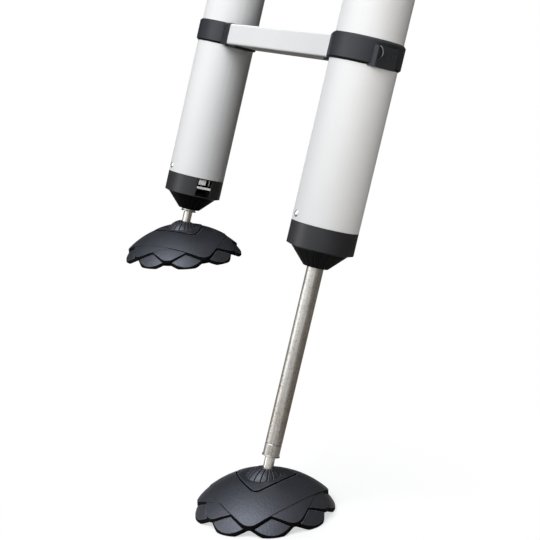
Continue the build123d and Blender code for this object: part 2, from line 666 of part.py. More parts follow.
def mouth_dish():
    """Cone-shaped cut from the retainer's top down to the rim of its mouth."""
    rim = sqrt((BALL_R + RUN) ** 2 - MOUTH_RISE ** 2)
    edge = RETAINER_TOP - DOME_RADIUS + sqrt(DOME_RADIUS ** 2 - DISH_DIA ** 2 / 4)
    return turned((0, MOUTH_TOP), (rim, MOUTH_TOP), (DISH_DIA / 2, edge), (DISH_DIA / 2, RETAINER_TOP + RUN),
                  (0, RETAINER_TOP + RUN))


def retainer():
    """Three-cornered plate with a dished mouth that lies close round the ball and keeps it in its cup."""
    plate = retainer_prism() - retainer_floor()
    plate += rod(NECK_DIA / 2, NECK_FOOT, RETAINER_FOOT)
    plate -= mouth_dish()
    plate -= ball(BALL_R + RUN, BALL_HEIGHT)
    plate -= pad_screw_hole(0, screw_tip() + FIT)
    return plate


def screw_tip():
    """Height of the pad screws' tips, inside the retainer."""
    drop = DOME_RADIUS - sqrt(DOME_RADIUS ** 2 - PAD_SCREW_CIRCLE ** 2 / 4)
    return RETAINER_FOOT - drop + PAD_SCREW_GRIP


def sole():
    """Rubber disc with round and radial grooves, inside the ring of petal tips."""
    disc = rod(SKIRT_DIA / 2, 0, SOLE_THICKNESS - SEAT)
    for i in range(SOLE_RINGS):
        middle = SOLE_RING_START / 2 + SOLE_RING_PITCH * i
        ring = rod(middle + SOLE_GROOVE_WIDTH / 2, 0, SOLE_GROOVE_DEPTH)
        disc -= ring - rod(middle - SOLE_GROOVE_WIDTH / 2, 0, SOLE_GROOVE_DEPTH)
    disc -= pad_screw_hole(0, SOLE_THICKNESS)
    seat = PAD_SCREW_SINK + PAD_SCREW_HEAD_HEIGHT + FIT
    return disc - around(3, rod(PAD_SCREW_HEAD_DIA / 2 + SEAT, 0, seat, x=PAD_SCREW_CIRCLE / 2))


def pad_screw():
    seat = PAD_SCREW_SINK + PAD_SCREW_HEAD_HEIGHT
    screw = rod(PAD_SCREW_HEAD_DIA / 2, PAD_SCREW_SINK, seat) + rod(PAD_SCREW_DIA / 2, seat, screw_tip())
    hexagon = RegularPolygon(PAD_SCREW_HEX / 2, 6, major_radius=False)
    socket = extrude(hexagon, PAD_SCREW_HEAD_HEIGHT / 2)
    screw -= Pos(0, 0, PAD_SCREW_SINK) * socket
    return Pos(PAD_SCREW_CIRCLE / 2, 0, 0) * screw


# One file for each piece
def save(name, piece):
    export_step(piece, f"parts/{name}.step")


def save_group(name, pieces):
    save(name, Compound(children=[piece.solid() for piece in pieces]))


STILE_PIECES = {
    "stile_tube": stile_tube, "rung_plug": rung_plug, "collar": collar, "end_cap": end_cap,
    "nose_bush": nose_bush, "fulcrum_pin": fulcrum_pin, "lock_plate": lock_plate,
    "lock_spring": lock_spring,
}
LEG_PIECES = {
    "leg_tube": leg_tube, "glide": glide, "glide_pin": glide_pin, "stud_bush": stud_bush,
    "ball_stud": ball_stud, "stud_clip": stud_clip, "ribbed_ball": ribbed_ball,
}
PAD_PIECES = {
    "socket_liner": socket_liner, "pad_base": pad_base, "pad_cover": pad_cover, "retainer": retainer,
    "sole": sole,
}

os.makedirs("parts", exist_ok=True)
for name, make in STILE_PIECES.items():
    piece = make()
    for side in SIDES:
        save(f"{side}_{name}", in_stile(side, piece))
for name, make in LEG_PIECES.items():
    piece = make()
    for side in SIDES:
        save(f"{side}_{name}", on_leg(side, piece))
for name, make in PAD_PIECES.items():
    piece = make()
    for side in SIDES:
        save(f"{side}_{name}", in_pad(side, piece))
for side in SIDES:
    save(f"{side}_spring_keeper", in_stile(side, keeper()))
    save(f"{side}_stop_post", in_stile(side, post(POST_DIA / 2, POST_ROOT)))
    save_group(f"{side}_pad_screws", [in_pad(side, screw) for screw in around(3, pad_screw())])
save("rung", in_stile("left", rung()))
save_group("rung_rivets", [in_stile(side, rung_rivet(y)) for side in SIDES for y in rung_rivet_rows()])
save_group("cap_rivets", [in_stile(side, cap_rivet(face)) for side in SIDES for face in (-1, 1)])
save_group("collar_screws", [in_stile(side, collar_screw()) for side in SIDES])
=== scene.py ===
# %% [markdown]
# # Ladder foot
# This lesson dresses the foot end of a leaning ladder: two round aluminium stiles, a rung in plastic
# collars, plastic end caps, steel legs that slide out of them, and two pads of overlapping petals. The
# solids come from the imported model, in metres, and never move here. Each step says what a piece or a
# finish is on the real object, which ways there are to make it, and why one was taken.

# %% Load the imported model
import json
import math

import bpy
import numpy as np
from mathutils import Matrix


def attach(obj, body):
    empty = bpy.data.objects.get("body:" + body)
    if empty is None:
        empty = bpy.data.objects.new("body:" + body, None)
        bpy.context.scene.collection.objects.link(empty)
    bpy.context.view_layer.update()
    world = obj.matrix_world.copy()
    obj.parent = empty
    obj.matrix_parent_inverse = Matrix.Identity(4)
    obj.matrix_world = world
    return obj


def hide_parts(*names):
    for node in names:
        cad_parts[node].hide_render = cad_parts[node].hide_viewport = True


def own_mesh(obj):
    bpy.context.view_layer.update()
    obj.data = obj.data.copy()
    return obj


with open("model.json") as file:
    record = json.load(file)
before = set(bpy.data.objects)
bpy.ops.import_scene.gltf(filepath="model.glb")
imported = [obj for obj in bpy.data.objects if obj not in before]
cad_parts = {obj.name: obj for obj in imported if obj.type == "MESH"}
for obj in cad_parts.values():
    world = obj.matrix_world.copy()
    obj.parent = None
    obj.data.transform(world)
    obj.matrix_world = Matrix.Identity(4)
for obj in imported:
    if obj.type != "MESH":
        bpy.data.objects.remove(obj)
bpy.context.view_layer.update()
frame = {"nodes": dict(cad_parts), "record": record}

nodes = frame["nodes"]
SIDES = ("left", "right")

# %% [markdown]
# ## The leaning stiles
# Most pieces sit in or on a stile, so their places are easiest to give from its lower edge. The axis
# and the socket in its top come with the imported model. Typing them in again would be quicker, but would
# go wrong as soon as the model changed.

# %% The leaning stiles
SOCKET_RISE = 0.320  # from a stile's lower edge to the middle of its socket
mounts = {mount["name"]: mount for mount in frame["record"]["mounts"]}
UP = np.array(mounts["right_stile_socket"]["axis"])
LEAN = math.atan2(UP[1], UP[2])
BACK = np.array([0.0, UP[2], -UP[1]])
FOOT = {side: np.array(mounts[f"{side}_stile_socket"]["pos_m"]) - SOCKET_RISE * UP for side in SIDES}
INWARD = {"left": np.array([1.0, 0.0, 0.0]), "right": np.array([-1.0, 0.0, 0.0])}


def in_stile(side, x, y, z):
    """Points in the shared frame: x towards the other stile, y back and z up from a stile's lower edge."""
    x, y, z = (np.asarray(c, float)[..., None] for c in (x, y, z))
    return FOOT[side] + x * INWARD[side] + y * BACK + z * UP


print("lean", round(math.degrees(LEAN), 2), "degrees")
print("lower edges", {side: FOOT[side].round(4).tolist() for side in SIDES})

# %% [markdown]
# ## Camera
# The photograph looks at the ladder from the right, a little from above, with a long lens and a slight
# roll. Placing a camera by eye would never line up, so its place was worked out from the edges of the
# tubes and pads. The two turning angles give the viewing direction, and the roll then turns the picture
# about it.

# %% Camera
AZIMUTH, ELEVATION, ROLL = 67.36, 13.39, -2.43
EYE = (1.34166, -0.54059, 0.62141)
LENS, SENSOR = 91.545, 36.0  # in mm


def added(name, data):
    """New object in the scene that holds a camera, a lamp or a mesh."""
    made = bpy.data.objects.new(name, data)
    bpy.context.scene.collection.objects.link(made)
    return made


def placed(place, axes):
    """Matrix that puts an object at a place, with its own X, Y and Z along three axes."""
    matrix = np.eye(4)
    matrix[:3, :3] = np.column_stack(axes)
    matrix[:3, 3] = place
    return Matrix(matrix.tolist())


def view_axes(azimuth, elevation, roll):
    """A camera's right, up and backward axes: turn about Z, look down, then roll about the line of sight."""
    a, e, r = (math.radians(v) for v in (azimuth, elevation, roll))
    ahead = np.array([-math.sin(a) * math.cos(e), math.cos(a) * math.cos(e), -math.sin(e)])
    right = np.array([math.cos(a), math.sin(a), 0.0])
    up = np.cross(right, ahead)
    return math.cos(r) * right + math.sin(r) * up, math.cos(r) * up - math.sin(r) * right, -ahead


camera = added("camera", bpy.data.cameras.new("camera"))
camera.data.sensor_width = SENSOR
camera.data.lens = LENS
camera.data.clip_end = 20.0
camera.matrix_world = placed(EYE, view_axes(AZIMUTH, ELEVATION, ROLL))
bpy.context.scene.camera = camera
bpy.context.scene.view_settings.view_transform = "Standard"
print("camera at", EYE, "lens", LENS)

# %% [markdown]
# ## Shader arithmetic
# Node trees are hard to read when every sum is three lines of links. A small class wraps one output
# socket, and the usual operators on it add Math nodes. Other nodes come from its method called node,
# which sets the node's own settings first and then its sockets.

# %% Shader arithmetic
class Wire:
    """One output socket of a node tree; + - * and ** on it make Math nodes."""

    def __init__(self, socket):
        self.socket = socket

    @staticmethod
    def node(tree, kind, settings=(), sockets=(), out=0):
        """Adds a node, sets its settings, then fills its sockets with values or wires."""
        made = tree.nodes.new("ShaderNode" + kind)
        for key, value in dict(settings).items():
            setattr(made, key, value)
        for key, value in dict(sockets).items():
            if isinstance(value, Wire):
                tree.links.new(value.socket, made.inputs[key])
            else:
                made.inputs[key].default_value = value
        return Wire(made.outputs[out])

    def math(self, operation, first, second):
        """Math node in this wire's tree on two values or wires."""
        return Wire.node(self.socket.id_data, "Math", {"operation": operation}, {0: first, 1: second})

    def __add__(self, other):
        return self.math("ADD", self, other)

    def __sub__(self, other):
        return self.math("SUBTRACT", self, other)

    def __rsub__(self, other):
        return self.math("SUBTRACT", other, self)

    def __mul__(self, other):
        return self.math("MULTIPLY", self, other)

    def __pow__(self, other):
        return self.math("POWER", self, other)


print("wires take + - * and **")

# %% [markdown]
# ## Patterns
# A finish starts as a bare shader and gets its patterns from noise, which is read in Object
# coordinates, so that it stays on the piece from every side. Image textures would need pictures and
# unwrapped surfaces. Streaks along a tube are the same noise, stretched along the stile.

# %% Patterns
MIX_FACTOR, MIX_LOW, MIX_HIGH, MIX_COLOUR = 0, 6, 7, 2  # colour sockets of a Mix node, in and out


def finish(name, **constants):
    """New material with a bare Principled shader: its tree, its shader and its Object coordinates."""
    material = bpy.data.materials.new(name)
    material.use_nodes = True
    tree = material.node_tree
    shader = next(n for n in tree.nodes if n.type == "BSDF_PRINCIPLED")
    for key, value in constants.items():
        shader.inputs[key.replace("_", " ")].default_value = value
    return material, tree, shader, Wire.node(tree, "TexCoord", out="Object")


def join(tree, shader, **wires):
    """Links wires to the shader's sockets."""
    for key, wire in wires.items():
        tree.links.new(wire.socket, shader.inputs[key.replace("_", " ")])


def noise(tree, place, scale, detail=3.0, rough=0.5):
    """Noise between about 0 and 1 at a place given by a vector wire."""
    sockets = {"Vector": place, "Scale": scale, "Detail": detail, "Roughness": rough}
    return Wire.node(tree, "TexNoise", {}, sockets)


def ramp(tree, value, low, high):
    """Smooth step of a value between two limits, from 0 to 1."""
    sockets = {"Value": value, "From Min": low, "From Max": high}
    return Wire.node(tree, "MapRange", {"interpolation_type": "SMOOTHSTEP"}, sockets)


def mixed(tree, factor, low, high):
    """Mix of two colour wires or colours, by a factor."""
    low, high = (c if isinstance(c, Wire) else (*c, 1.0) for c in (low, high))
    return Wire.node(tree, "Mix", {"data_type": "RGBA"}, {MIX_FACTOR: factor, MIX_LOW: low, MIX_HIGH: high},
                     MIX_COLOUR)


def stretched(tree, place, x, y, z):
    """Coordinates scaled along each axis."""
    return Wire.node(tree, "Mapping", {}, {"Vector": place, "Scale": (x, y, z)})


def along_stile(tree, place, across, along):
    """Object coordinates turned so that Z runs up the leaning stile, then scaled across and along it."""
    turned = Wire.node(tree, "Mapping", {"vector_type": "TEXTURE"},
                       {"Vector": place, "Rotation": (-LEAN, 0.0, 0.0)})
    return stretched(tree, turned, across, across, along)


print("patterns turned by", round(math.degrees(LEAN), 2), "degrees")

# %% [markdown]
# ## Edges, slits and upper sides
# Wear and painted light follow the shape: edges are painted lighter, partly as rubbed wear and partly as a
# painted highlight, slits get painted shade, and what looks down is painted darker and stays dull.
# Painting that by hand would have to be done again for each piece, so it is measured on the surface. A
# bevel node tells where edges are and rounds them, ambient occlusion finds the slits, and the face's
# own direction tells what looks up.

# %% Edges, slits and upper sides
EDGE_STARTS, EDGE_FULL = 0.02, 0.18  # how far a rounded normal leans away from the true one
SURFACE_SAMPLES = 8


def bump(tree, height, distance, normal):
    """Normal of a relief of the given height on top of another normal."""
    return Wire.node(tree, "Bump", {}, {"Distance": distance, "Height": height, "Normal": normal})


def rounded(tree, radius):
    """Normal that rounds off sharp edges by a radius, and a mask that is 1 on those edges."""
    soft = Wire.node(tree, "Bevel", {"samples": SURFACE_SAMPLES}, {"Radius": radius})
    true = Wire.node(tree, "NewGeometry", out="Normal")
    along = Wire.node(tree, "VectorMath", {"operation": "DOT_PRODUCT"}, {0: soft, 1: true}, "Value")
    return soft, ramp(tree, 1.0 - along, EDGE_STARTS, EDGE_FULL)


def crevice(tree, reach):
    """1 in the open, falling to 0 in slits and inner corners that are narrower than the reach."""
    settings = {"samples": SURFACE_SAMPLES, "only_local": True}
    return Wire.node(tree, "AmbientOcclusion", settings, {"Distance": reach}, "AO")


def part_of(tree, vector, axis):
    """One part, X, Y or Z, of a vector wire."""
    return Wire.node(tree, "SeparateXYZ", {}, {"Vector": vector}, axis)


def upward(tree, low, high):
    """0 to 1 as the upright part of a face's own direction goes from low to high."""
    return ramp(tree, part_of(tree, Wire.node(tree, "TexCoord", out="Normal"), "Z"), low, high)


print("edges and slits read with", SURFACE_SAMPLES, "samples")

# %% [markdown]
# ## Silver anodised aluminium
# Stiles and rung are drawn tube, etched and anodised silver. They look almost white on the lit side and
# fall to grey on the other. A mirror-like metal would show the room, so the surface is satin and
# scatters the light, with fine drawing lines along the tube, a little cloudiness and a few rubbed
# marks. Faces that look down, such as the rung's underside, get painted shade in their colour, found by
# the upright part of the face's own direction. Edges are painted a little lighter, partly as rubbed wear
# and partly as a painted highlight.

# %% Silver anodised aluminium
DRAWN_ACROSS, DRAWN_ALONG = 900.0, 4.0  # drawing lines: noise a metre, across and along the tube
# painted shade: colour for faces that look down
UNDERSIDE_SHADE = (0.44, 0.41, 0.38)


def silver_anodised(name, leaning, low, high):
    """Satin silver between two colours, drawn along the leaning stile or else along X."""
    material, tree, shader, place = finish(name, Metallic=0.0, Specular_IOR_Level=0.16)
    if leaning:
        lines = along_stile(tree, place, DRAWN_ACROSS, DRAWN_ALONG)
    else:
        lines = stretched(tree, place, DRAWN_ALONG, DRAWN_ACROSS, DRAWN_ACROSS)
    streak = noise(tree, lines, scale=1.0, detail=2.0)
    cloud = noise(tree, place, scale=18.0, detail=4.0)
    rub = ramp(tree, noise(tree, place, scale=75.0, detail=6.0, rough=0.7), 0.60, 0.72)
    soft, edge = rounded(tree, radius=0.0006)
    # edges painted lighter: partly rubbed wear, partly a painted highlight
    tone = streak * 0.35 + cloud * 0.65 - rub * 0.12 + edge * 0.3
    # painted shade on faces that look down
    below = 1.0 - upward(tree, -0.85, -0.40)
    join(tree, shader,
         Base_Color=mixed(tree, below * 0.9, mixed(tree, tone, low, high), UNDERSIDE_SHADE),
         Roughness=streak * 0.10 + cloud * 0.08 + rub * 0.06 + 0.42,
         Normal=bump(tree, streak, 0.00002, soft))
    return material


silver_stile = silver_anodised("silver_stile", leaning=True,
                               low=(0.84, 0.845, 0.845), high=(0.92, 0.92, 0.915))
silver_rung = silver_anodised("silver_rung", leaning=False,
                              low=(0.845, 0.85, 0.855), high=(0.915, 0.915, 0.915))
print("made", silver_stile.name, silver_rung.name)

# %% [markdown]
# ## Moulded plastic
# Caps and collars are injection-moulded nylon with a fine spark-eroded grain. Hands and boots polish
# the faces that look up or sideways, while undersides stay as dull as they left the mould: the polish
# is a coat whose weight follows the normal. Undersides are also painted darker, as painted shade.
# Upper edges are painted lighter, partly as rubbed wear and partly as a painted highlight, and slits and
# inner corners get painted shade. A bevel node gives every moulded edge its small radius. The rubber
# soles, the inner nylon and the blackened screws have the same wear and painted light in other colours,
# so one function makes them all.

# %% Moulded plastic
# painted shade: colour that slits, inner corners and faces looking down are darkened towards
CREVICE_SHADE = (0.002, 0.002, 0.002)


def moulded(name, low, high, edge_wear_and_highlight, rough, gloss, grain, grain_depth, polish=0.0,
            dull_shaded_below=-0.40, full_above=-0.05, reach=0.003, radius=0.0007):
    """Moulded skin: edges painted lighter (wear and highlight), painted shade in slits and below; polish
    coats what looks up.
    """
    material, tree, shader, place = finish(name, Specular_IOR_Level=gloss, Coat_Roughness=0.42, Coat_IOR=1.6)
    speck = noise(tree, place, grain, detail=2.0)
    cloud = noise(tree, place, scale=35.0, detail=4.0)
    scuff = ramp(tree, noise(tree, place, scale=160.0, detail=5.0, rough=0.65), 0.57, 0.70)
    soft, edge = rounded(tree, radius)
    lifted = upward(tree, dull_shaded_below, full_above)
    open_air = crevice(tree, reach)
    skin = mixed(tree, cloud * 0.6 + scuff * 0.3 + speck * 0.5 - 0.1, low, high)
    # upper edges painted lighter: partly rubbed wear, partly a painted highlight
    skin = mixed(tree, edge * lifted * (scuff * 0.5 + 0.5), skin, edge_wear_and_highlight)
    relief = bump(tree, speck, grain_depth, soft)
    # painted shade in slits, inner corners and on faces that look down
    join(tree, shader,
         Base_Color=mixed(tree, open_air ** 1.5 * (lifted * 0.85 + 0.15), CREVICE_SHADE, skin),
         Roughness=cloud * 0.10 + speck * 0.08 + (1.0 - open_air) * 0.4 + rough,
         Normal=relief)
    shown = lifted * open_air
    if polish:
        join(tree, shader, Coat_Weight=shown * (polish - scuff * 0.25 * polish))
    return material, shader, shown, relief


NYLON = {"rough": 0.45, "gloss": 0.06, "grain": 700.0, "grain_depth": 0.00005, "polish": 0.5}
black_plastic, *_ = moulded("black_plastic", (0.011, 0.011, 0.013), (0.028, 0.029, 0.033),
                            (0.10, 0.10, 0.105), **NYLON)
sole_rubber, *_ = moulded("sole_rubber", (0.010, 0.010, 0.010), (0.024, 0.023, 0.022), (0.04, 0.04, 0.04),
                          rough=0.70, gloss=0.1, grain=900.0, grain_depth=0.0001)
black_steel, *_ = moulded("black_steel", (0.014, 0.014, 0.015), (0.028, 0.027, 0.026), (0.20, 0.19, 0.18),
                          rough=0.40, gloss=0.3, grain=2600.0, grain_depth=0.00002, polish=0.2)
white_nylon, *_ = moulded("white_nylon", (0.74, 0.73, 0.69), (0.84, 0.83, 0.79), (0.88, 0.87, 0.84),
                          rough=0.42, gloss=0.3, grain=900.0, grain_depth=0.00003)
print("made", black_plastic.name, sole_rubber.name, black_steel.name, white_nylon.name)

# %% [markdown]
# ## Collars with painted rim highlights
# On the collars, the raised rim of the pocket gets a painted highlight, pale in its colour. A second
# material on some faces would end in hard steps, so the rim is picked out by distance: a thin shell round
# the pocket's centre, and only what stands proud of the block.

# %% Collars with painted rim highlights
POCKET_OUT, POCKET_BACK, POCKET_UP = 0.04225, -0.0111, 0.1942  # pocket's middle, in its block's face
RIM_RADIUS = 0.0085
RIM_FULL, RIM_END = 0.0004, 0.0008       # inside and outside that radius
PROUD_FROM, PROUD_FULL = 0.0002, 0.0005  # outside the block's face
RIM_FOOT, RIM_CLEAR = -0.007, -0.002     # above the pocket's middle
# painted highlight colour for the rims
RIM_HIGHLIGHT = (0.50, 0.50, 0.52)
RIM_HIGHLIGHT_SHARE = 0.6


def painted_rim_highlights(material, shader, centres):
    """Paints a highlight on the rims round two points: all that lies near the radius and outside the points
    along X.
    """
    tree = material.node_tree
    place = Wire.node(tree, "TexCoord", out="Object")
    far = [Wire.node(tree, "VectorMath", {"operation": "DISTANCE"}, {0: place, 1: centre}, "Value")
           for centre in centres]
    near = far[0].math("MINIMUM", *far)
    inner = ramp(tree, near, RIM_RADIUS - RIM_END, RIM_RADIUS - RIM_FULL)
    outer = ramp(tree, near, RIM_RADIUS + RIM_FULL, RIM_RADIUS + RIM_END)
    (left, _, height), (right, _, _) = centres
    middle, half = (left + right) / 2, (right - left) / 2
    reach = (part_of(tree, place, "X") - middle) ** 2.0
    proud = ramp(tree, reach, (half + PROUD_FROM) ** 2, (half + PROUD_FULL) ** 2)
    upper = ramp(tree, part_of(tree, place, "Z") - height, RIM_FOOT, RIM_CLEAR)
    # painted highlight on the pocket's rim
    rim_highlight = inner * (1.0 - outer) * proud * upper * RIM_HIGHLIGHT_SHARE
    skin = Wire(shader.inputs["Base Color"].links[0].from_socket)
    join(tree, shader, Base_Color=mixed(tree, rim_highlight, skin, RIM_HIGHLIGHT))


# a wider reach gives the collar's pocket and grooves more painted shade
collar_black, collar_shader, *_ = moulded("collar_black", (0.012, 0.013, 0.016), (0.027, 0.030, 0.038),
                                          (0.12, 0.12, 0.13), reach=0.007, **NYLON)
pockets = [in_stile(side, -POCKET_OUT, POCKET_BACK, POCKET_UP).tolist() for side in SIDES]
painted_rim_highlights(collar_black, collar_shader, pockets)
print("made", collar_black.name, "with rims round", [[round(c, 4) for c in pocket] for pocket in pockets])

# %% [markdown]
# ## Pads
# The pads are a bluer black with a leathery grain and a soft sheen, and the upper rims of the petals get
# a painted highlight. The steep walls between the petals and the slits get painted shade, which a darker
# colour alone can't give as long as the surface shines. So a second, dull, near-black shader is mixed in
# there.

# %% Pads
BLUE_SHEEN = (0.80, 0.85, 1.0, 1.0)
# painted shade on steep walls and in slits
WALL_SHADE = {"Base Color": (0.006, 0.006, 0.007, 1.0), "Roughness": 0.8, "Specular IOR Level": 0.05}


def shade_walls(material, shader, shown, relief):
    """Keeps the finish only where shown is 1; elsewhere, as on steep walls and in slits, painted shade in
    dull black.
    """
    tree = material.node_tree
    # painted shade: a dull near-black shader for the walls
    wall_shade_bsdf = Wire.node(tree, "BsdfPrincipled", {}, {**WALL_SHADE, "Normal": relief})
    blend = Wire.node(tree, "MixShader", {}, {0: shown, 1: wall_shade_bsdf, 2: Wire(shader.outputs[0])})
    out = next(n for n in tree.nodes if n.type == "OUTPUT_MATERIAL")
    tree.links.new(blend.socket, out.inputs["Surface"])


# the edge colour here is a painted highlight along the petals' upper rims
pad_black, pad_shader, pad_shown, pad_relief = moulded(
    "pad_black", (0.014, 0.015, 0.019), (0.024, 0.026, 0.032), (0.40, 0.41, 0.47), rough=0.37, gloss=0.76,
    grain=460.0, grain_depth=0.00035, dull_shaded_below=0.15, full_above=0.46, radius=0.0010)
pad_shader.inputs["Specular Tint"].default_value = BLUE_SHEEN
shade_walls(pad_black, pad_shader, pad_shown, pad_relief)
print("made", pad_black.name)

# %% [markdown]
# ## Steel and brass
# Each leg is stainless tube, polished lengthwise, so light and dark run along it in streaks, and its
# lower part is painted browner and darker. The ball studs are brighter. Keeper and lock plate have a pale
# zinc coat that shines like paint more than like metal, and the lower half of each rivet gets painted
# shade. One function makes them all, because only colours, streaks and these darker parts differ.

# %% Steel and brass
BROWN_BELOW, PLAIN_ABOVE = 0.06, 0.30  # heights between which the brown thins out
LOW_BROWN = (0.20, 0.165, 0.135)
# painted shade for the lower half of rivets
LOWER_HALF_SHADE = (0.05, 0.05, 0.05)


def brushed_metal(name, low, high, rough, across, along, metal=1.0, lower_half_shade=0.0, low_brown=0.0):
    """Metal streaked along the stile between two colours; painted shade darkens undersides, brown what is
    low.
    """
    material, tree, shader, place = finish(name, Metallic=metal)
    streak = noise(tree, along_stile(tree, place, across, along), scale=1.0, detail=3.0, rough=0.6)
    cloud = noise(tree, place, scale=60.0, detail=4.0)
    smear = ramp(tree, noise(tree, place, scale=380.0, detail=5.0, rough=0.7), 0.48, 0.70)
    soft, edge = rounded(tree, radius=0.0004)
    # edges painted lighter: partly rubbed wear, partly a painted highlight
    skin = mixed(tree, streak * 0.9 + cloud * 0.3 - smear * 0.3 + edge * 0.3 - 0.1, low, high)
    # browner and darker towards the bottom
    if low_brown:
        low_down = 1.0 - ramp(tree, part_of(tree, place, "Z"), BROWN_BELOW, PLAIN_ABOVE)
        skin = mixed(tree, low_down * (smear * 0.4 + 0.6) * low_brown, skin, LOW_BROWN)
    # painted shade on faces that look down
    if lower_half_shade:
        skin = mixed(tree, (1.0 - upward(tree, -0.25, 0.25)) * lower_half_shade, skin, LOWER_HALF_SHADE)
    join(tree, shader,
         Base_Color=skin,
         Roughness=streak * 0.14 + cloud * 0.10 + smear * 0.10 + rough,
         Normal=bump(tree, streak, 0.00003, soft))
    return material


stainless = brushed_metal("stainless", (0.13, 0.121, 0.105), (0.84, 0.83, 0.80), rough=0.28,
                          across=620.0, along=14.0, low_brown=0.6)
polished = brushed_metal("polished", (0.34, 0.33, 0.30), (0.80, 0.78, 0.73), rough=0.24,
                         across=620.0, along=30.0)
rivet_metal = brushed_metal("rivet_metal", (0.62, 0.62, 0.62), (0.80, 0.80, 0.80), rough=0.22,
                            across=500.0, along=500.0, lower_half_shade=0.9)
bright_steel = brushed_metal("bright_steel", (0.72, 0.72, 0.71), (0.90, 0.90, 0.89), rough=0.30,
                             across=600.0, along=600.0)
zinc = brushed_metal("zinc", (0.90, 0.90, 0.89), (0.97, 0.97, 0.96), rough=0.40,
                     across=600.0, along=600.0, metal=0.0)
plain_aluminium = brushed_metal("plain_aluminium", (0.70, 0.70, 0.70), (0.84, 0.84, 0.84), rough=0.26,
                                across=500.0, along=500.0)
brass = brushed_metal("brass", (0.62, 0.45, 0.18), (0.78, 0.60, 0.30), rough=0.28, across=700.0, along=700.0)
spring_steel = brushed_metal("spring_steel", (0.020, 0.022, 0.030), (0.070, 0.076, 0.095), rough=0.30,
                             across=500.0, along=500.0)
print("made", stainless.name, polished.name, rivet_metal.name, bright_steel.name, zinc.name,
      plain_aluminium.name, brass.name, spring_steel.name)

# %% [markdown]
# ## Finishes on the CAD pieces
# A node whose shape is right keeps its mesh and only gets a finish. Fifty single lines would do it, but a
# left piece and its right twin are made of the same stuff. So each finish is looked up by the piece's
# name without its side, and a pair always matches.

# %% Finishes on the CAD pieces
BY_NAME = {
    "stile_tube": silver_stile, "rung": silver_rung, "rung_plug": plain_aluminium,
    "rung_rivets": plain_aluminium, "collar": collar_black, "collar_screws": black_steel,
    "end_cap": black_plastic, "cap_rivets": rivet_metal, "nose_bush": brass, "fulcrum_pin": bright_steel,
    "spring_keeper": zinc, "stop_post": stainless, "lock_spring": bright_steel, "lock_plate": zinc,
    "leg_tube": stainless, "glide": white_nylon, "glide_pin": bright_steel, "stud_bush": brass,
    "ball_stud": polished, "stud_clip": bright_steel, "ribbed_ball": pad_black,
    "socket_liner": black_plastic, "pad_base": pad_black, "pad_cover": pad_black, "retainer": pad_black,
    "sole": sole_rubber, "pad_screws": bright_steel,
}
for name, node in nodes.items():
    kind = name.split("_", 1)[1] if name.startswith(SIDES) else name
    node.data.materials.clear()
    node.data.materials.append(BY_NAME[kind])
print("dressed", len(nodes), "nodes")

# %% [markdown]
# ## Leaf springs
# Under the tab of each lock plate lies a bowed strip of blued spring steel, which lifts the plate until
# it bites on the leg again. Each is a rounded section carried along the bow, at rest, and the model's own
# lock spring is hidden in its place.

# %% Leaf springs
LEAF_START = 0.0125    # fixed end, from the stile's axis
LEAF_FLOOR = -0.0217   # chamber's floor, from the stile's lower edge
LEAF_RUN = 0.0140      # from the fixed end to the free one, along x
LEAF_BOW = 0.020042    # radius of the bow
LEAF_WIDTH = 0.0078
LEAF_THICKNESS = 0.0006


def bowed_strip(side, around=24, along=40):
    """P(s, t): x = start + r sin u, y = a width / 2, z = floor + bow - r cos u, with the angle
    u = s asin(run / (bow - thickness)) and the radius r = bow - thickness (1 - b) / 2, where (a, b) goes
    with t round the rounded square |a|^6 + |b|^6 = 1."""
    s, t = np.meshgrid(np.linspace(0.0, 1.0, along), np.linspace(0.0, 2 * np.pi, around, endpoint=False),
                       indexing="ij")
    a, b = (np.sign(f(t)) * np.abs(f(t)) ** (1 / 3) for f in (np.cos, np.sin))
    r = LEAF_BOW - LEAF_THICKNESS * (1 - b) / 2
    turn = s * math.asin(LEAF_RUN / (LEAF_BOW - LEAF_THICKNESS))
    points = in_stile(side, LEAF_START + r * np.sin(turn), a * LEAF_WIDTH / 2,
                      LEAF_FLOOR + LEAF_BOW - r * np.cos(turn))
    grid = np.arange(along * around).reshape(along, around)
    beside = np.roll(grid, -1, axis=1)
    quads = np.stack((grid[:-1], grid[1:], beside[1:], beside[:-1]), axis=-1).reshape(-1, 4)
    outwards = slice(None, None, 1 if side == "left" else -1)
    ends = [grid[0][outwards].tolist(), grid[-1, ::-1][outwards].tolist()]
    mesh = bpy.data.meshes.new(f"{side}_leaf_spring")
    mesh.from_pydata(points.reshape(-1, 3).tolist(), [], quads[:, outwards].tolist() + ends)
    mesh.polygons.foreach_set("use_smooth", [True] * len(quads) + [False] * len(ends))
    mesh.materials.append(spring_steel)
    return added(f"{side}_leaf_spring", mesh)


for side in SIDES:
    leaf = bowed_strip(side)
    held = in_stile(side, LEAF_START, 0.0, LEAF_FLOOR)
    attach(leaf, "frame")
    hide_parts(f"{side}_lock_spring")
    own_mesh(leaf)
    print(leaf.name, len(leaf.data.polygons), "faces")

# %% [markdown]
# ## Backdrop
# The photograph is a cut-out on white. The world looks white to the camera and in reflections, and
# lights the rest softly. More light on the object would also make the ground white, but would bleach
# the stiles, so the choice is made by the kind of ray. It doesn't depend on where the camera stands.

# %% Backdrop
AMBIENT = 0.04
WHITE = (1.0, 1.0, 1.0)


def looks(tree):
    """1 for a ray that sees the background, from camera, mirror or glass, and 0 for one that lights."""
    rays = Wire.node(tree, "LightPath").socket.node.outputs
    seen, gloss, clear = (Wire(rays[f"Is {kind} Ray"]) for kind in ("Camera", "Glossy", "Transmission"))
    return seen.math("MAXIMUM", seen.math("MAXIMUM", seen, gloss), clear)


